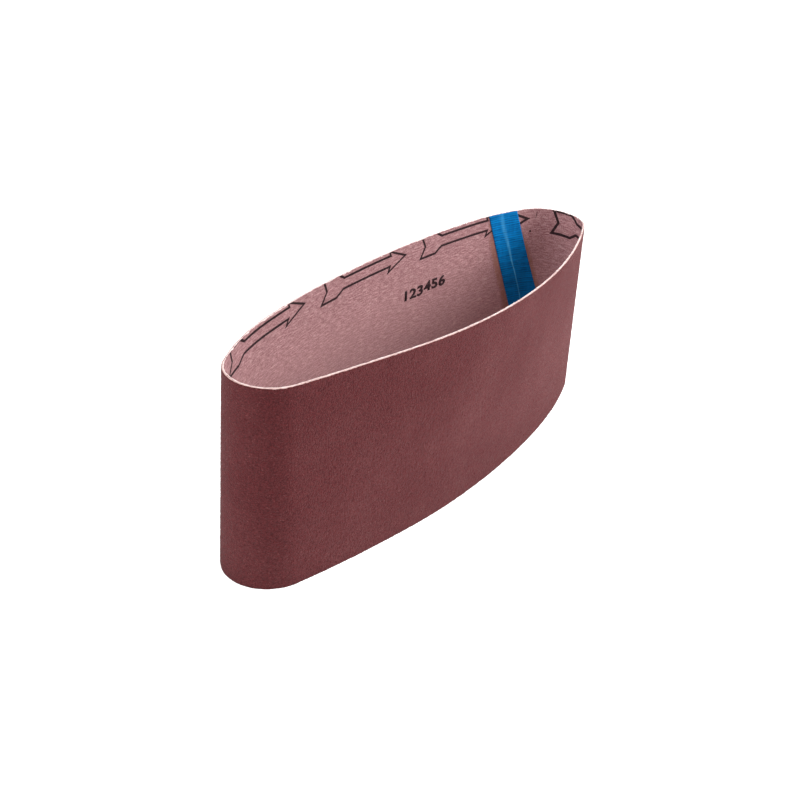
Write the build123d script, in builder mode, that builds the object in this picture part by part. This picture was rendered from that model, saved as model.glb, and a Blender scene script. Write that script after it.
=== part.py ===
from build123d import *

import os
from math import atan2, cos, degrees, radians, sin, sqrt, tan

# An endless cloth sanding belt that stands on its cut edge as a long, slightly lopsided loop.
# +Z runs across the belt's width and +X along the loop. The origin is under the loop's middle.

# Driving dimensions, in millimetres and degrees
belt_width = 75.0
belt_length = 457.0  # round the inner face of the cloth
cloth_thickness = 0.50
make_coat_thickness = 0.08
grain_thickness = 0.30
size_coat_thickness = 0.07

# The splice: the strip's two ends butt on a slanted line, under a tape on the inner face
splice_at = 196.6  # along the top edge, from the left tip over the far side
tape_at = 197.5  # the tape is laid a little off the joint
splice_slant = 18.8  # from square across the belt
joint_gap = 0.20
tape_width = 16.2  # along the belt
tape_thickness = 0.10
adhesive_thickness = 0.06
squeeze_out = 1.2  # how far the adhesive shows past each side of the tape
yarn_pitch = 1.0
yarn_height = 0.4
yarn_thickness = 0.06
band_step = 1.5  # along the belt, between the sections of a slanted band

# The loop from above, before it is scaled to belt_length. Angles are polar, from +X.
left_radius = 14.0
right_radius = 15.3
end_distance = 178.8  # between the centres of the two round ends
left_end_offset = 1.6  # how much nearer to +Y the left end's centre is
far_left_start = 116.6
far_left_radius = 99.0
far_right_start = 64.8
far_right_radius = 108.0
near_right_start = -67.2
near_right_radius = 225.0
far_side_radius = 428.0
near_left_radius = 918.0

# Layer boundaries, outward from the cloth's inner face
cloth_outside = cloth_thickness
make_outside = cloth_outside + make_coat_thickness
grain_outside = make_outside + grain_thickness
size_outside = grain_outside + size_coat_thickness
adhesive_inside = -adhesive_thickness
tape_inside = adhesive_inside - tape_thickness
yarn_inside = tape_inside - yarn_thickness


def polar(angle):
    return Vector(cos(radians(angle)), sin(radians(angle)))


def direction(vector):
    return degrees(atan2(vector.Y, vector.X))


def swell(circle, angle, radius):
    """The wider circle that holds a circle and touches it at a polar angle."""
    centre, small = circle
    return centre - polar(angle) * (radius - small), radius


def bridge(circle_a, circle_b, radius):
    """The circle that holds two circles and touches both, bulging to the left of a to b."""
    reach_a = radius - circle_a[1]
    reach_b = radius - circle_b[1]
    span = circle_b[0] - circle_a[0]
    along = (reach_a**2 - reach_b**2 + span.length**2) / (2 * span.length)
    across = sqrt(reach_a**2 - along**2)
    unit = span.normalized()
    return circle_a[0] + unit * along + Vector(unit.Y, -unit.X) * across, radius


def loop_arcs():
    """Centre, radius, start angle and clockwise turn of each arc, scaled and centred."""
    left = (Vector(0, left_end_offset), left_radius)
    right = (Vector(end_distance, 0), right_radius)
    far_left = swell(left, far_left_start, far_left_radius)
    far_right = swell(right, far_right_start, far_right_radius)
    near_right = swell(right, near_right_start, near_right_radius)
    far_side = bridge(far_left, far_right, far_side_radius)
    near_left = bridge(near_right, left, near_left_radius)
    # Clockwise from the left end, with the polar angle where each arc ends
    circles = [left, far_left, far_side, far_right, right, near_right, near_left]
    ends = [
        far_left_start,
        direction(far_left[0] - far_side[0]),
        direction(far_right[0] - far_side[0]),
        far_right_start,
        near_right_start,
        direction(near_right[0] - near_left[0]),
        direction(left[0] - near_left[0]),
    ]
    starts = ends[-1:] + ends[:-1]
    turns = [(start - end) % 360 for start, end in zip(starts, ends)]
    scale = belt_length / sum(radians(turn) * circle[1] for turn, circle in zip(turns, circles))
    low = Vector(left[0].X - left[1], near_right[0].Y - near_right[1])
    high = Vector(right[0].X + right[1], far_side[0].Y + far_side[1])
    middle = (low + high) / 2
    return [
        ((centre - middle) * scale, radius * scale, start, turn)
        for (centre, radius), start, turn in zip(circles, starts, turns)
    ]


def place(distance):
    """The point on the cloth's inner face, and the way out, at a distance from the left tip."""
    _, radius, start, _ = arcs[0]
    reached = radius * radians(180 - start % 360)
    for centre, radius, start, turn in arcs:
        angle = degrees((distance - reached) / radius)
        if angle <= turn:
            outward = polar(start - angle)
            return centre + outward * radius, outward
        reached += radius * radians(turn)


def ring(inside, outside):
    """The loop's plan between two distances outward from the cloth's inner face."""
    with BuildSketch() as plan:
        with BuildLine():
            for centre, radius, start, turn in arcs:
                CenterArc(centre, radius + outside, start, -turn)
        make_face()
        with BuildLine():
            for centre, radius, start, turn in arcs:
                CenterArc(centre, radius + inside, start, -turn)
        make_face(mode=Mode.SUBTRACT)
    return plan.sketch


def slanted_band(at, width):
    """A block through the wall that crosses the belt at the splice's slant, past both its edges."""
    slope = tan(radians(splice_slant))
    first = at - width / 2 - band_step
    last = at + width / 2 + belt_width * slope + band_step
    steps = round((last - first) / band_step)
    depth = 2 * (size_outside - yarn_inside)
    with BuildPart() as band:
        for step in range(steps + 1):
            distance = first + (last - first) * step / steps
            foot, outward = place(distance)
            middle = belt_width + (at - distance) / slope
            with BuildSketch(Plane(foot, x_dir=outward, z_dir=Vector(outward.Y, -outward.X))):
                with Locations((0, middle)):
                    Rectangle(depth, width / slope)
        loft(ruled=True)
    return band.part


arcs = loop_arcs()
joint = slanted_band(splice_at, joint_gap)
tape_band = slanted_band(tape_at, tape_width)
adhesive_band = slanted_band(tape_at, tape_width + 2 * squeeze_out)
os.makedirs("parts", exist_ok=True)

# A long strip of cloth, bent round until its slanted ends butt
with BuildPart() as backing_cloth:
    add(ring(0, cloth_outside))
    extrude(amount=belt_width)
    add(joint, mode=Mode.SUBTRACT)
backing_cloth.part.label = "backing_cloth"
export_step(backing_cloth.part, "parts/backing_cloth.step")

# The resin that the grain stands in
with BuildPart() as make_coat:
    add(ring(cloth_outside, make_outside))
    extrude(amount=belt_width)
    add(joint, mode=Mode.SUBTRACT)
make_coat.part.label = "make_coat"
export_step(make_coat.part, "parts/make_coat.step")

# The closely packed grain, as one sheet of its mean thickness
with BuildPart() as abrasive_grain:
    add(ring(make_outside, grain_outside))
    extrude(amount=belt_width)
    add(joint, mode=Mode.SUBTRACT)
abrasive_grain.part.label = "abrasive_grain"
export_step(abrasive_grain.part, "parts/abrasive_grain.step")

# The second resin coat, which locks the grain from above
with BuildPart() as size_coat:
    add(ring(grain_outside, size_outside))
    extrude(amount=belt_width)
    add(joint, mode=Mode.SUBTRACT)
size_coat.part.label = "size_coat"
export_step(size_coat.part, "parts/size_coat.step")

# The adhesive under the tape, pressed out a little past both its sides
with BuildPart() as splice_adhesive:
    add(ring(adhesive_inside, 0))
    extrude(amount=belt_width)
    add(adhesive_band, mode=Mode.INTERSECT)
splice_adhesive.part.label = "splice_adhesive"
export_step(splice_adhesive.part, "parts/splice_adhesive.step")

# The film that bridges the joint
with BuildPart() as splice_tape:
    add(ring(tape_inside, adhesive_inside))
    extrude(amount=belt_width)
    add(tape_band, mode=Mode.INTERSECT)
splice_tape.part.label = "splice_tape"
export_step(splice_tape.part, "parts/splice_tape.step")

# The flat yarns that run along the belt and give the film its strength
yarn_count = int(belt_width / yarn_pitch)
with BuildPart() as tape_yarns:
    for yarn in range(yarn_count):
        with BuildSketch(Plane.XY.offset((yarn + 0.5) * yarn_pitch - yarn_height / 2)):
            add(ring(yarn_inside, tape_inside))
        extrude(amount=yarn_height)
    add(tape_band, mode=Mode.INTERSECT)
tape_yarns.part.label = "tape_yarns"
export_step(tape_yarns.part, "parts/tape_yarns.step")
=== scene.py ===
from cmath import phase, rect
from math import cos, degrees, pi, radians, sin, sqrt, tan

import bmesh
import bpy
import numpy as np
from mathutils import Matrix, Vector


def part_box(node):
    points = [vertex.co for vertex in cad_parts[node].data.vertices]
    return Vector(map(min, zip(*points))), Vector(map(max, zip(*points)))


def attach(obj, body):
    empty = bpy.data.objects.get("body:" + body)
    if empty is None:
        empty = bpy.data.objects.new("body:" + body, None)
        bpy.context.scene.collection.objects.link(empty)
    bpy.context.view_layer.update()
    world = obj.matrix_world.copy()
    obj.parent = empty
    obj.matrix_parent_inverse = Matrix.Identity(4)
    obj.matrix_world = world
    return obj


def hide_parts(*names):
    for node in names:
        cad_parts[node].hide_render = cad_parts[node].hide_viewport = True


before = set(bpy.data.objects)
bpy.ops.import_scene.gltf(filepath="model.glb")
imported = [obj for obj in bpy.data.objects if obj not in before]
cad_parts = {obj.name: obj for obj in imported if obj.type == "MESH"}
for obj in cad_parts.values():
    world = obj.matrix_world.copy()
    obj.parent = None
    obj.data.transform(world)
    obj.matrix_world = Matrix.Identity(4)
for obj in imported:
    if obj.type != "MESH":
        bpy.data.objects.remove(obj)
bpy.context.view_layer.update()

# An endless cloth sanding belt that stands on its cut edge. Lengths are in millimetres and angles
# in degrees, and points become metres where a mesh or the camera is made.
MM = 0.001

# The loop's plan, before it is scaled to the frame. Angles are polar, from +X.
left_radius = 14.0
right_radius = 15.3
end_distance = 178.8
left_end_offset = 1.6
far_left_start = 116.6
far_left_radius = 99.0
far_right_start = 64.8
far_right_radius = 108.0
near_right_start = -67.2
near_right_radius = 225.0
far_side_radius = 428.0
near_left_radius = 918.0

# The splice: the strip's two ends butt on a slanted line, under a tape on the inner face. Its
# places are along the top edge, from the left tip over the far side.
splice_at = 196.6
tape_at = 197.5  # the tape is laid a little off the joint
splice_slope = tan(radians(18.8))
joint_gap = 0.20
tape_width = 16.2
yarn_pitch = 1.0

# The limp cloth doesn't stand quite upright: its foot wanders off the plan in two slow waves
foot_sway = 1.70
foot_sway_phase = 86.4
foot_twist = 3.24
foot_twist_phase = -119.2

# The cloth bulges outward a little near the left end of the far side, most at the top edge
bulge = 0.8
bulge_at = 58.0
bulge_reach = 36.0

# Layers, outward from the cloth's inner face. The ink is rooted in the cloth's yarn ridges.
cloth_thickness = 0.50
ink_inside = -0.03
ink_root = 0.05
adhesive_inside = -0.06
tape_inside = -0.16
yarn_inside = -0.22

# Grid steps along the belt where only its bend has to show, and down a face without relief
coarse_along = 1.53
coarse_down = 6.25

cloth_low, cloth_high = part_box("backing_cloth")
belt_width = (cloth_high.z - cloth_low.z) / MM
inner_length = (cloth_high.x - cloth_low.x) / MM - 2 * cloth_thickness


def outside(node):
    """How far a layer's outer face is from the cloth's inner face."""
    low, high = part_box(node)
    return ((high.x - low.x) / MM - inner_length) / 2


grit_outside = outside("size_coat")


def polar(angle):
    return rect(1, radians(angle))


def direction(vector):
    return degrees(phase(vector))


def swell(circle, angle, radius):
    """The wider circle that holds a circle and touches it at a polar angle."""
    centre, small = circle
    return centre - polar(angle) * (radius - small), radius


def bridge(circle_a, circle_b, radius):
    """The circle that holds two circles and touches both, bulging to the left of a to b."""
    reach_a = radius - circle_a[1]
    reach_b = radius - circle_b[1]
    span = circle_b[0] - circle_a[0]
    along = (reach_a**2 - reach_b**2 + abs(span) ** 2) / (2 * abs(span))
    across = sqrt(reach_a**2 - along**2)
    return circle_a[0] + span / abs(span) * (along - 1j * across), radius


def loop_arcs():
    """Centres, radii, start angles and clockwise turns of the arcs, scaled and centred."""
    left = (left_end_offset * 1j, left_radius)
    right = (end_distance + 0j, right_radius)
    far_left = swell(left, far_left_start, far_left_radius)
    far_right = swell(right, far_right_start, far_right_radius)
    near_right = swell(right, near_right_start, near_right_radius)
    far_side = bridge(far_left, far_right, far_side_radius)
    near_left = bridge(near_right, left, near_left_radius)
    circles = [left, far_left, far_side, far_right, right, near_right, near_left]
    ends = [
        far_left_start,
        direction(far_left[0] - far_side[0]),
        direction(far_right[0] - far_side[0]),
        far_right_start,
        near_right_start,
        direction(near_right[0] - near_left[0]),
        direction(left[0] - near_left[0]),
    ]
    starts = np.array(ends[-1:] + ends[:-1])
    turns = (starts - np.array(ends)) % 360
    scale = inner_length / (end_distance + left_radius + right_radius)
    low = near_right[0].imag - near_right[1]
    high = far_side[0].imag + far_side[1]
    middle = complex((end_distance + right_radius - left_radius) / 2, (low + high) / 2)
    centres = np.array([(centre - middle) * scale for centre, _ in circles])
    radii = np.array([radius * scale for _, radius in circles])
    return centres, radii, starts, turns


arc_centres, arc_radii, arc_starts, arc_turns = loop_arcs()
arc_ends = np.cumsum(arc_radii * np.radians(arc_turns))
belt_length = arc_ends[-1]
first_arc_from = arc_radii[0] * radians(180 - arc_starts[0] % 360)


def wall(along, down, out):
    """Points in metres on the belt's wall: clockwise along it from the left tip over the far
    side, down from the top edge, and outward from the cloth's inner face."""
    reached = (along - first_arc_from) % belt_length
    arc = np.searchsorted(arc_ends, reached, side="right").clip(0, len(arc_ends) - 1)
    left_over = reached - arc_ends[arc]
    angle = np.radians(arc_starts[arc] - arc_turns[arc]) - left_over / arc_radii[arc]
    outward = np.exp(1j * angle)
    round_belt = 2j * pi * along / belt_length
    sway = foot_sway * polar(foot_sway_phase) * np.exp(round_belt)
    twist = foot_twist * polar(foot_twist_phase) * np.exp(-2 * round_belt)
    past_bulge = (along - bulge_at + belt_length / 2) % belt_length - belt_length / 2
    proud = bulge * np.exp(-((past_bulge / bulge_reach) ** 2)) * (1 - down / belt_width)
    plan = arc_centres[arc] + outward * (arc_radii[arc] + out + proud)
    plan = plan + (sway + twist) * down / belt_width
    return np.stack([plan.real, plan.imag, belt_width - down], axis=-1) * MM


def mottle(chance, along, down, length, height):
    """Smooth random values from -1 to 1 in patches about length by height."""
    x = (along - along.min()) / length
    y = (down - down.min()) / height
    values = chance.uniform(-1, 1, (int(y.max()) + 2, int(x.max()) + 2))
    column = x.astype(int)
    row = y.astype(int)
    fx = (x - column) ** 2 * (3 - 2 * (x - column))
    fy = (y - row) ** 2 * (3 - 2 * (y - row))
    upper = values[row, column] * (1 - fx) + values[row, column + 1] * fx
    lower = values[row + 1, column] * (1 - fx) + values[row + 1, column + 1] * fx
    return upper * (1 - fy) + lower * fy


def add_object(name, data):
    """A new object in the scene."""
    made = bpy.data.objects.new(name, data)
    bpy.context.scene.collection.objects.link(made)
    return made


def add_piece(name, mesh, where, material):
    """An object whose mesh keeps each point's place on the wall, in millimetres."""
    place = mesh.attributes.new("wall", "FLOAT_VECTOR", "POINT")
    place.data.foreach_set("vector", np.asarray(where, np.float32).ravel())
    mesh.materials.append(material)
    return add_object(name, mesh)


def solid_piece(name, faces, where, material, smooth_faces=None):
    """A piece from places on the wall. Faces after the first smooth_faces are flat, which keeps
    the corners of a rim crisp."""
    mesh = bpy.data.meshes.new(name)
    mesh.from_pydata(wall(*where.T), [], faces)
    smooth_faces = len(faces) if smooth_faces is None else smooth_faces
    mesh.polygons.foreach_set("use_smooth", np.arange(len(faces)) < smooth_faces)
    return add_piece(name, mesh, where, material)


def splice_grid(start, stop, step_along, step_down):
    """Distances along and down the belt of a grid whose two ends follow the splice."""
    columns = round((stop - start) / step_along) + 1
    rows = round(belt_width / step_down) + 1
    down = np.linspace(0, belt_width, rows)[:, None] + np.zeros(columns)
    return np.linspace(start, stop, columns) + splice_slope * down, down


def grid_faces(rows, columns, first, flip):
    """Quads of a grid of vertices, row by row."""
    corner = first + np.arange(rows - 1)[:, None] * columns + np.arange(columns - 1)
    quads = np.stack([corner, corner + 1, corner + columns + 1, corner + columns], -1)
    quads = quads.reshape(-1, 4)
    return (quads[:, ::-1] if flip else quads).tolist()


def grid_border(rows, columns, first):
    """The border vertices of a grid in order round it, and how far round each one is, 0 to 4."""
    index = first + np.arange(rows * columns).reshape(rows, columns)
    sides = [index[0, :-1], index[:-1, -1], index[-1, :0:-1], index[:0:-1, 0]]
    border = [int(i) for side in sides for i in side]
    turns = [k + j / len(side) for k, side in enumerate(sides) for j in range(len(side))]
    return border + border[:1], turns + [4.0]


def shell(name, inner, outer, material):
    """A closed shell between two grids of (along, down, out), which may differ in fineness."""
    where = np.concatenate([np.stack(grid, -1).reshape(-1, 3) for grid in (inner, outer)])
    first = inner[0].size
    faces = grid_faces(*inner[0].shape, 0, True) + grid_faces(*outer[0].shape, first, False)
    smooth_faces = len(faces)
    border_a, turns_a = grid_border(*inner[0].shape, 0)
    border_b, turns_b = grid_border(*outer[0].shape, first)
    a = b = 0
    while a < len(border_a) - 1 or b < len(border_b) - 1:
        step_a = b == len(border_b) - 1
        if not step_a and a < len(border_a) - 1:
            step_a = turns_a[a + 1] <= turns_b[b + 1]
        if step_a:
            faces.append((border_a[a], border_a[a + 1], border_b[b]))
            a += 1
        else:
            faces.append((border_a[a], border_b[b + 1], border_b[b]))
            b += 1
    return solid_piece(name, faces, where, material, smooth_faces)


class Shade:
    """A material's nodes, made by short calls. A value may be a number, a tuple or a socket."""

    def __init__(self, name):
        self.material = bpy.data.materials.new(name)
        self.material.use_nodes = True
        self.tree = self.material.node_tree
        self.surface = self.tree.nodes["Principled BSDF"]

    def put(self, node, socket, value):
        if isinstance(value, bpy.types.NodeSocket):
            self.tree.links.new(value, node.inputs[socket])
        else:
            node.inputs[socket].default_value = value

    def node(self, kind, inputs, **settings):
        made = self.tree.nodes.new("ShaderNode" + kind)
        for setting, value in settings.items():
            setattr(made, setting, value)
        for socket, value in inputs.items():
            self.put(made, socket, value)
        return made

    def place(self, stretch=(1, 1, 1)):
        """The wall attribute, in millimetres, scaled along the belt, down it and outward."""
        source = self.node("Attribute", {}, attribute_name="wall").outputs["Vector"]
        inputs = {0: source, 1: stretch}
        return self.node("VectorMath", inputs, operation="MULTIPLY").outputs[0]

    def noise(self, scale, detail=3, stretch=(1, 1, 1)):
        inputs = {"Vector": self.place(stretch), "Scale": scale, "Detail": detail}
        return self.node("TexNoise", inputs).outputs[0]

    def cells(self, scale, stretch=(1, 1, 1)):
        """Voronoi cells: the distance from each cell's middle, and a random value per cell."""
        cell = self.node("TexVoronoi", {"Vector": self.place(stretch), "Scale": scale})
        value = self.node("SeparateColor", {0: cell.outputs["Color"]}).outputs[0]
        return cell.outputs["Distance"], value

    def math(self, operation, *values):
        inputs = dict(enumerate(values))
        return self.node("Math", inputs, operation=operation).outputs[0]

    def ramp(self, value, low, high, to_low=0.0, to_high=1.0):
        inputs = {0: value, 1: low, 2: high, 3: to_low, 4: to_high}
        return self.node("MapRange", inputs).outputs[0]

    def mix(self, factor, a, b, blend="MIX"):
        made = self.node("Mix", {0: factor, 6: a, 7: b}, data_type="RGBA", blend_type=blend)
        return made.outputs[2]

    def relief(self, height, distance, strength=1.0):
        """Bump of a height from 0 to 1, whose full depth is distance in millimetres."""
        inputs = {"Height": height, "Distance": distance * MM, "Strength": strength}
        self.put(self.surface, "Normal", self.node("Bump", inputs).outputs[0])


def tone(red, green, blue):
    """A colour given as 0 to 255 display values, as the linear colour that shaders take."""
    def linear(value):
        value /= 255
        return value / 12.92 if value <= 0.04045 else ((value + 0.055) / 1.055) ** 2.4
    return (linear(red), linear(green), linear(blue), 1.0)


def grit_material():
    """Close-packed brown grain, each facet its own shade, in dark red resin. Round the right end it
    is paler, dustier and more mottled than towards the left end, partly dust and partly painted
    sheen and raking light; it is paler lower down with painted bounce light from the floor; and the
    knife has left its top rim pale."""
    shade = Shade("grit")
    distance, shade_of_grain = shade.cells(2.3)
    facets = shade.ramp(shade_of_grain, 0.0, 1.0)
    resin = tone(76, 27, 31)
    grain = shade.mix(facets, tone(80, 26, 30), tone(109, 46, 49))
    body = shade.mix(shade.ramp(distance, 0.25, 0.75), grain, resin)
    place = shade.node("SeparateXYZ", {0: shade.place()})
    # Painted sheen and raking light, with some dust: the grit is made paler, dustier and more
    # mottled round the right end than towards the left end
    wear_and_sheen = shade.ramp(place.outputs[0], 240, 400, 1.15, 0.75)
    clumps = shade.noise(2.2, 3)
    pale = shade.math("MULTIPLY", shade.ramp(clumps, 0.5, 0.75, 0.0, 0.42), wear_and_sheen)
    dark_clumps_and_painted_shadow = shade.math("MULTIPLY", shade.ramp(clumps, 0.5, 0.25, 0.0, 0.24), wear_and_sheen)
    body = shade.mix(pale, body, tone(141, 69, 72))
    body = shade.mix(dark_clumps_and_painted_shadow, body, tone(60, 17, 21))
    # Painted bounce light from the floor: the grit is made paler towards its foot, added to the
    # random dust
    painted_floor_bounce = shade.ramp(place.outputs[1], 5, 65, 0.0, 0.05)
    dust_and_painted_light = shade.math("ADD", shade.ramp(shade.noise(0.035, 3), 0.4, 0.75, 0.02, 0.13), painted_floor_bounce)
    dust_and_painted_light = shade.math("MULTIPLY", dust_and_painted_light, wear_and_sheen)
    clots = shade.ramp(shade.noise(1.5, 4), 0.35, 0.7, 0.2, 1.8)
    body = shade.mix(shade.math("MULTIPLY", dust_and_painted_light, clots), body, tone(168, 112, 112))
    _, glint = shade.cells(3.1)
    body = shade.mix(shade.ramp(glint, 0.96, 1.0, 0.0, 0.22), body, tone(180, 116, 115))
    below_surface = shade.ramp(place.outputs[2], 0.84, 0.76)
    cut = shade.math("MULTIPLY", shade.ramp(place.outputs[1], 0.3, 0.2), below_surface)
    body = shade.mix(cut, body, tone(226, 190, 184))
    shade.put(shade.surface, "Base Color", body)
    shade.put(shade.surface, "Roughness", shade.ramp(shade_of_grain, 0.0, 1.0, 0.62, 0.9))
    shade.surface.inputs["Specular IOR Level"].default_value = 0.12
    shade.surface.inputs["Sheen Weight"].default_value = 0.10
    shade.surface.inputs["Sheen Roughness"].default_value = 0.45
    shade.surface.inputs["Sheen Tint"].default_value = tone(240, 205, 205)
    height = shade.math("SUBTRACT", shade.math("MULTIPLY", facets, 0.6), distance)
    shade.relief(height, 0.24, 0.9)
    return shade.material


def cloth_colour(shade):
    """The dyed weave: fine yarns both ways, slubs along the belt, pale broken fibres, and painted
    light that makes it paler lower down. Gives the colour and the height of its relief."""
    place = shade.node("SeparateXYZ", {0: shade.place()})
    warp_pitch = 0.48
    weft_pitch = 0.55
    warp = shade.math("SINE", shade.math("MULTIPLY", place.outputs[1], 2 * pi / warp_pitch))
    weft = shade.math("SINE", shade.math("MULTIPLY", place.outputs[0], 2 * pi / weft_pitch))
    weave = shade.math("ADD", shade.math("MULTIPLY", warp, 0.3), shade.math("MULTIPLY", weft, 0.2))
    weave = shade.math("ADD", weave, 0.5)
    slubs = shade.noise(1.3, 3, (0.24, 1.3, 1))
    fuzz = shade.noise(1.9, 4, (1.0, 0.8, 1))
    blotches = shade.noise(0.09, 3)
    colour = shade.mix(weave, tone(145, 98, 102), tone(167, 121, 125))
    colour = shade.mix(shade.ramp(slubs, 0.46, 0.7, 0.0, 0.75), colour, tone(212, 168, 168))
    colour = shade.mix(shade.ramp(slubs, 0.46, 0.26, 0.0, 0.65), colour, tone(122, 76, 81))
    colour = shade.mix(shade.ramp(fuzz, 0.48, 0.75, 0.0, 0.7), colour, tone(222, 180, 179))
    colour = shade.mix(shade.ramp(fuzz, 0.46, 0.25, 0.0, 0.6), colour, tone(122, 76, 81))
    colour = shade.mix(shade.ramp(blotches, 0.4, 0.65, 0.0, 0.2), colour, tone(150, 110, 110))
    _, fibre = shade.cells(1.0, (0.5, 1.6, 1))
    colour = shade.mix(shade.ramp(fibre, 0.93, 1.0, 0.0, 0.32), colour, tone(230, 194, 191))
    # Painted light: the cloth is made paler lower down the inside of the loop
    painted_light_low = shade.ramp(place.outputs[1], 8, 40, 0.0, 0.3)
    colour = shade.mix(painted_light_low, colour, tone(206, 162, 162))
    weave = shade.math("MULTIPLY", weave, 0.6)
    height = shade.math("ADD", weave, shade.math("MULTIPLY", fuzz, 0.8))
    return colour, height


def cloth_material():
    """Dyed cotton, matt, with a faint nap."""
    shade = Shade("dyed_cloth")
    colour, height = cloth_colour(shade)
    shade.put(shade.surface, "Base Color", colour)
    shade.put(shade.surface, "Roughness", shade.ramp(height, 0.2, 1.2, 0.95, 0.8))
    shade.surface.inputs["Specular IOR Level"].default_value = 0.2
    shade.surface.inputs["Sheen Weight"].default_value = 0.12
    shade.surface.inputs["Sheen Roughness"].default_value = 0.6
    shade.surface.inputs["Sheen Tint"].default_value = tone(240, 215, 212)
    shade.relief(height, 0.10, 0.6)
    return shade.material


def raw_edge_material():
    """Undyed cotton where the knife has opened the yarns."""
    shade = Shade("raw_cotton")
    clots = shade.noise(1.1, 3)
    fibres = shade.noise(4.0, 4, (0.4, 1, 1))
    colour = shade.mix(shade.ramp(clots, 0.35, 0.7), tone(250, 236, 232), tone(232, 202, 197))
    colour = shade.mix(shade.ramp(fibres, 0.5, 0.8, 0.0, 0.35), colour, tone(214, 160, 158))
    shade.put(shade.surface, "Base Color", colour)
    shade.put(shade.surface, "Roughness", shade.ramp(fibres, 0.3, 0.7, 0.85, 1.0))
    shade.surface.inputs["Specular IOR Level"].default_value = 0.2
    shade.surface.inputs["Sheen Weight"].default_value = 0.3
    shade.relief(fibres, 0.08, 0.6)
    return shade.material


def tape_material():
    """Blue film, glossy over its flat yarns, with a pale line where the joint strains it. The
    line is wide and faint at the top, and narrow and clear lower down."""
    shade = Shade("blue_tape")
    place = shade.node("SeparateXYZ", {0: shade.place()})
    shift = shade.math("MULTIPLY", place.outputs[1], splice_slope)
    across = shade.math("SUBTRACT", shade.math("SUBTRACT", place.outputs[0], shift), splice_at)
    wander = shade.ramp(shade.noise(0.05, 1, (0, 1, 0)), 0.3, 0.7, -0.5, 0.5)
    crease = shade.math("ABSOLUTE", shade.math("SUBTRACT", across, wander))
    reach = shade.ramp(place.outputs[1], 3, 26, 1.9, 0.42)
    near = shade.ramp(shade.math("DIVIDE", crease, reach), 1.0, 0.15)
    yarns = shade.math("COSINE", shade.math("MULTIPLY", place.outputs[1], 2 * pi / yarn_pitch))
    yarns = shade.math("MULTIPLY", yarns, -0.13)
    threads = shade.math("ADD", shade.noise(1.0, 3, (0.12, 1.6, 1)), yarns)
    smears = shade.noise(0.5, 3, (1.0, 0.25, 1))
    colour = shade.mix(shade.ramp(threads, 0.3, 0.7), tone(0, 88, 148), tone(0, 136, 212))
    colour = shade.mix(shade.ramp(smears, 0.45, 0.75, 0.0, 0.4), colour, tone(10, 142, 222))
    # Painted shadow: the tape darkens from 20 to 32 mm down and stays dark below
    dark_clumps_and_painted_shadow = shade.ramp(place.outputs[1], 20, 32, 0.0, 0.25)
    colour = shade.mix(dark_clumps_and_painted_shadow, colour, tone(0, 78, 132))
    patchy = shade.ramp(smears, 0.3, 0.6, 0.3, 0.9)
    strain = shade.math("MULTIPLY", patchy, shade.ramp(place.outputs[1], 2, 26, 0.3, 1.0))
    colour = shade.mix(shade.math("MULTIPLY", near, strain), colour, tone(92, 190, 240))
    shade.put(shade.surface, "Base Color", colour)
    shade.put(shade.surface, "Roughness", shade.ramp(threads, 0.3, 0.7, 0.32, 0.5))
    shade.surface.inputs["Specular IOR Level"].default_value = 0.1
    shade.relief(threads, 0.05, 0.5)
    return shade.material


def adhesive_material():
    """Brown adhesive that has soaked into the cloth and fades out into its dye."""
    shade = Shade("brown_adhesive")
    colour, height = cloth_colour(shade)
    edge = shade.node("Attribute", {}, attribute_name="edge").outputs["Fac"]
    patchy = shade.math("ADD", edge, shade.ramp(shade.noise(0.8, 4), 0.3, 0.7, -0.3, 0.3))
    clouds = shade.ramp(shade.noise(0.3, 3), 0.3, 0.7)
    glue = shade.mix(clouds, tone(142, 96, 84), tone(158, 112, 98))
    stain = shade.ramp(patchy, 0.1, 1.0, 0.0, 0.85)
    shade.put(shade.surface, "Base Color", shade.mix(stain, colour, glue))
    shade.put(shade.surface, "Roughness", shade.ramp(patchy, 0.1, 0.9, 0.85, 0.5))
    shade.surface.inputs["Specular IOR Level"].default_value = 0.25
    shade.relief(height, 0.08, 0.5)
    return shade.material


def ink_material():
    """Dark stamping ink, thin on the tops of the yarns."""
    shade = Shade("printing_ink")
    worn = shade.noise(2.2, 4)
    colour = shade.mix(shade.ramp(worn, 0.55, 0.85, 0.0, 0.6), tone(42, 24, 28), tone(120, 80, 84))
    shade.put(shade.surface, "Base Color", colour)
    shade.put(shade.surface, "Roughness", shade.ramp(worn, 0.3, 0.7, 0.6, 0.85))
    shade.surface.inputs["Specular IOR Level"].default_value = 0.25
    shade.relief(worn, 0.05, 0.5)
    return shade.material


def cloth_strip(material):
    """The backing: yarn ridges along the inner face, and a plain outer face under the grit."""
    chance = np.random.default_rng(11)
    ridge_pitch = 1.0
    ridge_height = 0.035
    start = splice_at + joint_gap / 2
    stop = splice_at - joint_gap / 2 + belt_length
    along, down = splice_grid(start, stop, coarse_along, ridge_pitch / 4)
    ridges = 0.5 - 0.5 * np.cos(2 * pi * down / ridge_pitch)
    slub = 1 + 0.5 * mottle(chance, along, down, 7.0, ridge_pitch)
    inside = ridge_height * ridges * slub + 0.01 * (1 + mottle(chance, along, down, 3.0, 1.0))
    back_along, back_down = splice_grid(start, stop, coarse_along, coarse_down)
    back = (back_along, back_down, np.full_like(back_along, cloth_thickness))
    return shell("cloth_strip", (along, down, inside), back, material)


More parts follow.
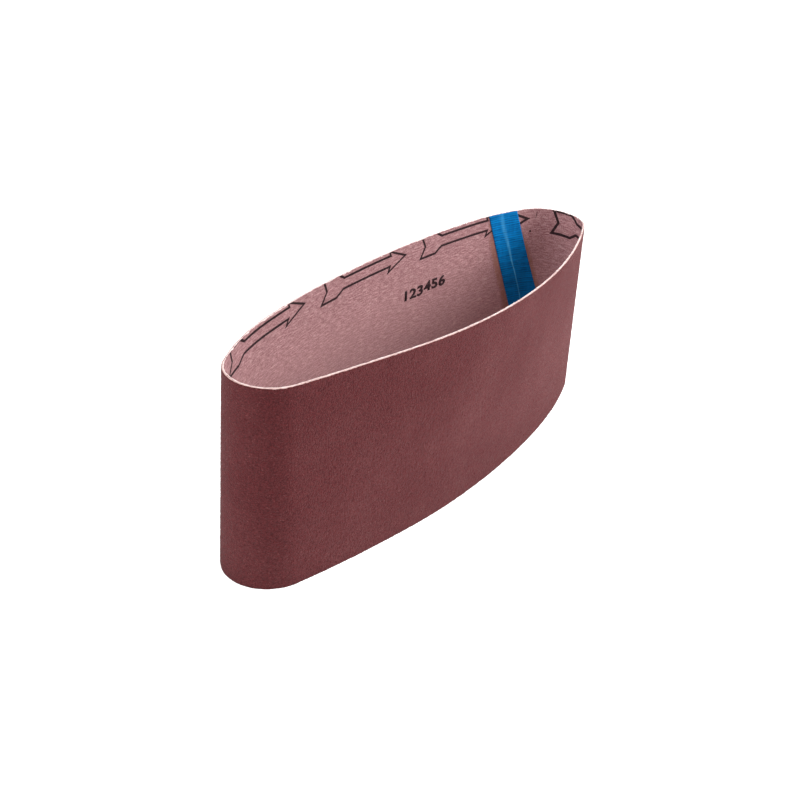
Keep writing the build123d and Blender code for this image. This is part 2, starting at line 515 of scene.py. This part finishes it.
def grit_coat(material):
    """Resin and grain as one crust, rough outside and chipped along both cut edges."""
    chance = np.random.default_rng(23)
    fine = 0.62
    mean_out = grit_outside - 0.04
    lump_size = 2.6
    lump_height = 0.03
    grain_height = 0.075
    deepest_chip = 0.14
    start = splice_at + joint_gap
    stop = splice_at - joint_gap + belt_length
    along, down = splice_grid(start, stop, fine, fine)
    lumps = lump_height * mottle(chance, along, down, lump_size, lump_size)
    grains = chance.uniform(-grain_height, grain_height, along.shape)
    out = mean_out + lumps + grains
    chips = deepest_chip * chance.uniform(0, 1, along.shape[1]) ** 2
    down[0] += 0.05 + chips
    down[-1] -= 0.3 * chips[::-1]
    # The crust thins a little at the joint and at both cut edges
    out[:, [0, -1]] -= 0.12
    out[[0, -1]] -= 0.08
    back_along, back_down = splice_grid(start, stop, coarse_along, coarse_down)
    back = (back_along, back_down, np.full_like(back_along, cloth_thickness))
    return shell("grit_coat", back, (along, down, out), material)


def frayed_edge(name, edge, inward, proud, material, seed):
    """A ragged bead of opened yarn ends along one cut edge of the cloth. It stands past the edge
    by proud, and inward is 1 where the belt lies below the edge, and -1 where it lies above."""
    chance = np.random.default_rng(seed)
    step = 0.35
    sides = 8
    mean_half_depth = 0.27
    mean_half_height = 0.15
    taper = 0.4
    start = splice_at + joint_gap + splice_slope * edge
    along = np.arange(start, start + belt_length - 2 * joint_gap, step)
    count = len(along)
    flat = np.zeros(count)
    swell_of_bead = mottle(chance, along, flat, 1.6, 1) + 0.6 * chance.uniform(-1, 1, count)
    slow = mottle(chance, along, flat, 8.0, 1)
    half_depth = mean_half_depth + 0.09 * swell_of_bead + 0.03 * slow
    half_height = mean_half_height + 0.08 * swell_of_bead + 0.03 * slow
    breaks = (3 * (mottle(chance, along, flat, 1.5, 1) - 0.4)).clip(0, 1)
    half_depth *= 1 - 0.6 * breaks
    half_height *= 1 - 0.4 * breaks
    # Both ends taper off at the joint
    half_depth[[0, -1]] *= taper
    half_height[[0, -1]] *= taper
    middle_out = cloth_thickness / 2 + 0.03 + 0.08 * mottle(chance, along, flat, 2.0, 1)
    uneven_proud = proud * (1 + 0.8 * mottle(chance, along, flat, 1.1, 1))
    middle_down = edge + inward * (half_height - uneven_proud)
    turn = np.linspace(0, 2 * pi, sides, endpoint=False)
    out = middle_out[:, None] + half_depth[:, None] * np.cos(turn)
    down = middle_down[:, None] + half_height[:, None] * np.sin(turn)
    down = np.minimum(down, belt_width)
    where = np.stack([along[:, None] + 0 * out, down, out], -1).reshape(-1, 3)
    faces = []
    for ring in range(count - 1):
        for side in range(sides):
            after = (side + 1) % sides
            a = ring * sides
            faces.append((a + side, a + after, a + sides + after, a + sides + side))
    last = (count - 1) * sides
    faces.append(tuple(reversed(range(sides))))
    faces.append(tuple(range(last, last + sides)))
    return solid_piece(name, faces, where, material)


def lint(material):
    """Loose fibre ends that stand out of the top edge at all angles."""
    chance = np.random.default_rng(37)
    fibres = 420
    joints = 4
    half_thickness = 0.022
    shortest = 0.25
    longest = 1.15
    root_down = 0.05
    triangle = ((1, 0), (-0.5, 0.87), (-0.5, -0.87))
    where = []
    faces = []
    for _ in range(fibres):
        at = splice_at + joint_gap + chance.uniform(0, belt_length - 2 * joint_gap)
        length = shortest + (longest - shortest) * chance.uniform(0, 1) ** 3
        lean = chance.uniform(-1.0, 1.0, 2)
        curl = chance.uniform(-0.6, 0.6, 2)
        root_out = chance.uniform(0.08, cloth_thickness - 0.02)
        for joint in range(joints):
            share = joint / (joints - 1)
            reach = length * share
            along = at + reach * (lean[0] + curl[0] * share)
            out = root_out + 0.6 * reach * (lean[1] + curl[1] * share)
            down = root_down - reach * (0.75 - 0.3 * share)
            half = half_thickness * (1 - 0.6 * share)
            first = len(where)
            for dx, dy in triangle:
                where.append((along + dx * half, down, out + dy * half))
            if joint:
                for side in range(3):
                    after = (side + 1) % 3
                    faces.append((first - 3 + side, first - 3 + after, first + after, first + side))
            else:
                faces.append((first + 2, first + 1, first))
        faces.append((first, first + 1, first + 2))
    return solid_piece("edge_lint", faces, np.array(where), material)


def splice_tape(material):
    """Film drawn down over its yarns, with a low crease where it bridges the joint."""
    chance = np.random.default_rng(41)
    step_along = 0.54
    step_down = 0.15
    crease_width = 0.35
    start = tape_at - tape_width / 2
    along, down = splice_grid(start, start + tape_width, step_along, step_down)
    ribs = (0.5 - 0.5 * np.cos(2 * pi * down / yarn_pitch)) ** 0.7
    ribs *= 0.8 + 0.2 * mottle(chance, along, down, 9.0, yarn_pitch)
    across = along - splice_slope * down - splice_at
    wander = 0.5 * mottle(chance, 0 * along, down, 1.0, 16.0)
    crease = np.exp(-(((across - wander) / crease_width) ** 2))
    face = tape_inside + (yarn_inside - tape_inside) * np.maximum(ribs, crease)
    face += 0.012 * mottle(chance, along, down, 3.0, 5.0)
    root = np.full_like(along, adhesive_inside + 0.02)
    return shell("tape_film", (along, down, face), (along, down, root), material)


def adhesive_halo(material):
    """Adhesive pressed out past the tape, less near the top, in an uneven film that thins to
    nothing. Its edge attribute is 0 at the film's sides and 1 where it is full."""
    chance = np.random.default_rng(43)
    rows = 151
    columns = 41
    full_face = -0.012
    side_face = 0.05
    root_face = 0.08
    taper = 2.2
    down = np.linspace(0, belt_width, rows)
    zero = np.zeros(rows)
    left = 0.8 + 3.4 * (down / 12).clip(0, 1) + 0.5 * mottle(chance, zero, down, 1, 9.0)
    right = 0.7 + 2.6 * (down / 24).clip(0, 1) + 0.4 * mottle(chance, zero, down, 1, 8.0)
    share = np.linspace(0, 1, columns)
    low = -tape_width / 2 - left
    high = tape_width / 2 + right
    across = low[:, None] + (high - low)[:, None] * share
    down = down[:, None] + 0 * across
    along = tape_at + across + splice_slope * down
    edge = np.minimum(share, 1 - share) * (high - low)[:, None] / taper
    edge = edge.clip(0, 1)
    face = side_face + (full_face - side_face) * edge**0.5
    root = np.full_like(face, root_face)
    piece = shell("adhesive_film", (along, down, face), (along, down, root), material)
    values = np.concatenate([edge.ravel(), edge.ravel()])
    attribute = piece.data.attributes.new("edge", "FLOAT", "POINT")
    attribute.data.foreach_set("value", values.astype(np.float32))
    return piece


# Each arrow's outline, along the belt from its tail and down from its axis
arrow_outline = [
    (0.0, 4.6),
    (2.7, 0.0),
    (0.3, -4.6),
    (9.2, -4.6),
    (13.2, -2.25),
    (42.7, -2.25),
    (41.7, -4.3),
    (52.2, 0.0),
    (41.7, 4.6),
    (42.7, 2.25),
    (13.2, 2.25),
    (9.2, 4.6),
]


def stroke(bm, points, width, closed=True):
    """A flat ribbon along an outline, mitred at its corners."""
    longest_mitre = 2.2  # in half widths
    points = [complex(*point) for point in points]
    count = len(points)
    rails = []
    for i, point in enumerate(points):
        before = points[i - 1] if closed or i else point - (points[1] - point)
        after = points[(i + 1) % count] if closed or i < count - 1 else point + (point - before)
        way_in = (point - before) / abs(point - before)
        way_out = (after - point) / abs(after - point)
        bend = way_in + way_out
        mitre = 1j * bend / abs(bend) * min(2 / abs(bend), longest_mitre) * width / 2
        rails.append([bm.verts.new((p.real, p.imag, 0)) for p in (point - mitre, point + mitre)])
    for i in range(count if closed else count - 1):
        a, b = rails[i], rails[(i + 1) % count]
        bm.faces.new((a[0], b[0], b[1], a[1]))


def cut_flat(bm, point, keep):
    """Cuts flat print along a line through a point, and keeps the side that keep points to."""
    geometry = bm.verts[:] + bm.edges[:] + bm.faces[:]
    bmesh.ops.bisect_plane(bm, geom=geometry, plane_co=point, plane_no=keep, clear_inner=True)


def lay_print(name, bm, material):
    """Bends flat print round the wall, as a thin solid film of ink on the inner face."""
    low = min(v.co.x for v in bm.verts)
    high = max(v.co.x for v in bm.verts)
    spacing = 1.2
    for step in range(1, int((high - low) / spacing) + 1):
        geometry = bm.verts[:] + bm.edges[:] + bm.faces[:]
        at = (low + step * spacing, 0, 0)
        bmesh.ops.bisect_plane(bm, geom=geometry, plane_co=at, plane_no=(1, 0, 0))
    bmesh.ops.remove_doubles(bm, verts=bm.verts, dist=1e-4)
    lower = bm.faces[:]
    made = bmesh.ops.extrude_face_region(bm, geom=lower, use_keep_orig=True)
    for item in made["geom"]:
        if isinstance(item, bmesh.types.BMVert):
            item.co.z = ink_inside
    for vertex in bm.verts:
        if vertex.co.z == 0:
            vertex.co.z = ink_root
    where = np.array([vertex.co for vertex in bm.verts])
    for vertex, point in zip(bm.verts, wall(*where.T)):
        vertex.co = point
    bmesh.ops.recalc_face_normals(bm, faces=bm.faces)
    mesh = bpy.data.meshes.new(name)
    bm.to_mesh(mesh)
    bm.free()
    return add_piece(name, mesh, where, material)


def arrows(material):
    """Direction arrows along the top edge, cut off by the edge and by the joint. The strip's
    print climbs towards the edge, and its two ends meet out of step at the joint."""
    pitch = 63.3
    first_tail = 223.3
    last_tail = 159.6 + belt_length
    first, leaning, slipped, before_joint, after_joint = 0, 4, 5, 6, 7
    slips = {leaning: 0.6, slipped: 0.9}
    half_arrow = 26
    edge_margin = 0.03
    joint = (splice_at + belt_length, 0, 0)
    pieces = []
    for number in range(8):
        tail = first_tail + pitch * number
        tail += slips.get(number, 0.0)
        axis = 5.3 - 1.35 * min(number / 3.7, 1)
        taller = 1.1 if number == first else 1.0
        width = 1.15 if number == first else 0.95
        skew = -0.016 if number == leaning else 0.0
        if number == after_joint:
            tail = last_tail
            axis = 4.4
            width = 1.3
        outline = [
            (tail + x, axis + taller * y + skew * (x - half_arrow)) for x, y in arrow_outline
        ]
        bm = bmesh.new()
        stroke(bm, outline, width)
        cut_flat(bm, (0, edge_margin, 0), (0, 1, 0))
        if number == before_joint:
            cut_flat(bm, joint, (-1, splice_slope, 0))
        if number == after_joint:
            cut_flat(bm, joint, (1, -splice_slope, 0))
        pieces.append(lay_print(f"arrow_print_{number + 1}", bm, material))
    return pieces


def digits(material):
    """A generic run of stamped figures, a little uneven, as a hand numbering stamp leaves them."""
    text = bpy.data.curves.new("figures", "FONT")
    text.body = "123456"
    text.align_x = "CENTER"
    text.align_y = "CENTER"
    text.size = 7.0
    text.offset = 0.26
    text.space_character = 1.06
    text.resolution_u = 3
    holder = add_object("figures", text)
    bpy.context.view_layer.update()
    flat = bpy.data.meshes.new_from_object(holder)
    bpy.data.objects.remove(holder)
    bm = bmesh.new()
    bm.from_mesh(flat)
    bpy.data.meshes.remove(flat)
    tilt = radians(2.8)
    middle_along = 149.6
    middle_down = 22.7
    wider = 1.22
    lower = 0.86
    figure_pitch = 4.35
    unevenness = 0.25
    for vertex in bm.verts:
        x = wider * vertex.co.x
        y = lower * vertex.co.y
        jitter = unevenness * sin(1.9 * x / figure_pitch)
        along = x * cos(tilt) - y * sin(tilt)
        up = x * sin(tilt) + y * cos(tilt) + jitter
        vertex.co = (middle_along + along, middle_down - up, 0)
    return lay_print("batch_figures", bm, material)


def specks(material):
    """A stray tick and a dot of ink by the tape."""
    bm = bmesh.new()
    stroke(bm, [(216.2, 1.3), (216.0, 2.8), (215.7, 4.3)], 0.22, closed=False)
    stroke(bm, [(213.2, 10.2), (213.5, 10.5), (213.8, 10.2), (213.5, 9.9)], 0.45)
    return lay_print("ink_specks", bm, material)


def settle(piece, slot, *nodes):
    """Puts a piece on the belt's one body and hides the CAD nodes it stands for; its finish slot is
    not used.
    """
    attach(piece, "root")
    if nodes:
        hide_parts(*nodes)


def camera():
    """Stands beyond the left end on the near side, and looks down along the belt."""
    place = Vector((-320.7, -192.3, 235.5)) * MM
    yaw = radians(57.46)
    down = radians(29.44)
    roll = radians(4.41)
    forward = Vector((sin(yaw) * cos(down), cos(yaw) * cos(down), -sin(down)))
    level = forward.cross(Vector((0, 0, 1))).normalized()
    upright = level.cross(forward)
    right = level * cos(roll) + upright * sin(roll)
    up = upright * cos(roll) - level * sin(roll)
    data = bpy.data.cameras.new("camera")
    data.lens = 49.51
    data.sensor_width = 36
    data.clip_start = 0.01
    holder = add_object("camera", data)
    turned = Matrix((right, up, -forward)).transposed().to_4x4()
    holder.matrix_world = Matrix.Translation(place) @ turned
    bpy.context.scene.camera = holder


def area_light(name, place, size, power):
    """A round soft light, in metres and watts, that is aimed at the belt's middle."""
    data = bpy.data.lights.new(name, "AREA")
    data.shape = "DISK"
    data.size = size
    data.energy = power
    holder = add_object(name, data)
    holder.location = place
    aim = Vector((0, 0, 0.03)) - Vector(place)
    holder.rotation_euler = aim.to_track_quat("-Z", "Y").to_euler()


def stage():
    """A white floor under an even white sky, with four soft lights. The floor and the sky are
    brighter to the camera than as lights, so the background is plain white."""
    shade = Shade("floor_paper")
    grain = shade.noise(0.02, 2)
    paper = shade.mix(grain, tone(250, 250, 250), tone(255, 255, 255))
    shade.put(shade.surface, "Base Color", paper)
    shade.surface.inputs["Roughness"].default_value = 0.9
    shade.surface.inputs["Specular IOR Level"].default_value = 0.1
    shade.surface.inputs["Emission Color"].default_value = (1, 1, 1, 1)
    floor_seen = 0.6
    seen = shade.node("LightPath", {}).outputs["Is Camera Ray"]
    shade.put(shade.surface, "Emission Strength", shade.ramp(seen, 0.0, 1.0, 0.0, floor_seen))
    half = 4.0
    corners = [(-half, -half, 0), (half, -half, 0), (half, half, 0), (-half, half, 0)]
    mesh = bpy.data.meshes.new("floor")
    mesh.from_pydata(corners, [], [(0, 1, 2, 3)])
    mesh.materials.append(shade.material)
    add_object("floor", mesh)
    sky_light = 0.45
    sky_seen = 1.1
    world = bpy.data.worlds.new("studio")
    world.use_nodes = True
    sky = world.node_tree.nodes["Background"]
    sky.inputs["Color"].default_value = (1, 1, 1, 1)
    seen = world.node_tree.nodes.new("ShaderNodeLightPath")
    strength = world.node_tree.nodes.new("ShaderNodeMapRange")
    strength.inputs["To Min"].default_value = sky_light
    strength.inputs["To Max"].default_value = sky_seen
    world.node_tree.links.new(seen.outputs["Is Camera Ray"], strength.inputs["Value"])
    world.node_tree.links.new(strength.outputs[0], sky.inputs["Strength"])
    bpy.context.scene.world = world
    bpy.context.scene.view_settings.view_transform = "Standard"
    area_light("key_softbox", (0.6, -0.8, 0.75), 0.8, 14.5)
    area_light("fill_softbox", (-0.9, 0.6, 0.5), 0.7, 6.5)
    area_light("sky_softbox", (-0.7, -0.1, 0.9), 0.8, 2.0)
    area_light("edge_softbox", (1.0, -0.5, 0.35), 0.7, 4.0)


camera()
stage()

cloth_paint = cloth_material()
raw_paint = raw_edge_material()
ink_paint = ink_material()

cloth = cloth_strip(cloth_paint)
grit = grit_coat(grit_material())
top_fray = frayed_edge("top_edge_fray", 0.0, 1, 0.08, raw_paint, 61)
foot_fray = frayed_edge("foot_edge_fray", belt_width, -1, 0.0, raw_paint, 67)
loose = lint(raw_paint)
tape = splice_tape(tape_material())
halo = adhesive_halo(adhesive_material())
prints = arrows(ink_paint) + [digits(ink_paint), specks(ink_paint)]

settle(cloth, "cloth", "backing_cloth")
settle(grit, "grain", "make_coat", "abrasive_grain", "size_coat")
settle(top_fray, "cloth")
settle(foot_fray, "cloth")
settle(loose, "cloth")
settle(tape, "tape", "splice_tape", "tape_yarns")
settle(halo, "adhesive", "splice_adhesive")
for piece in prints:
    settle(piece, "ink")
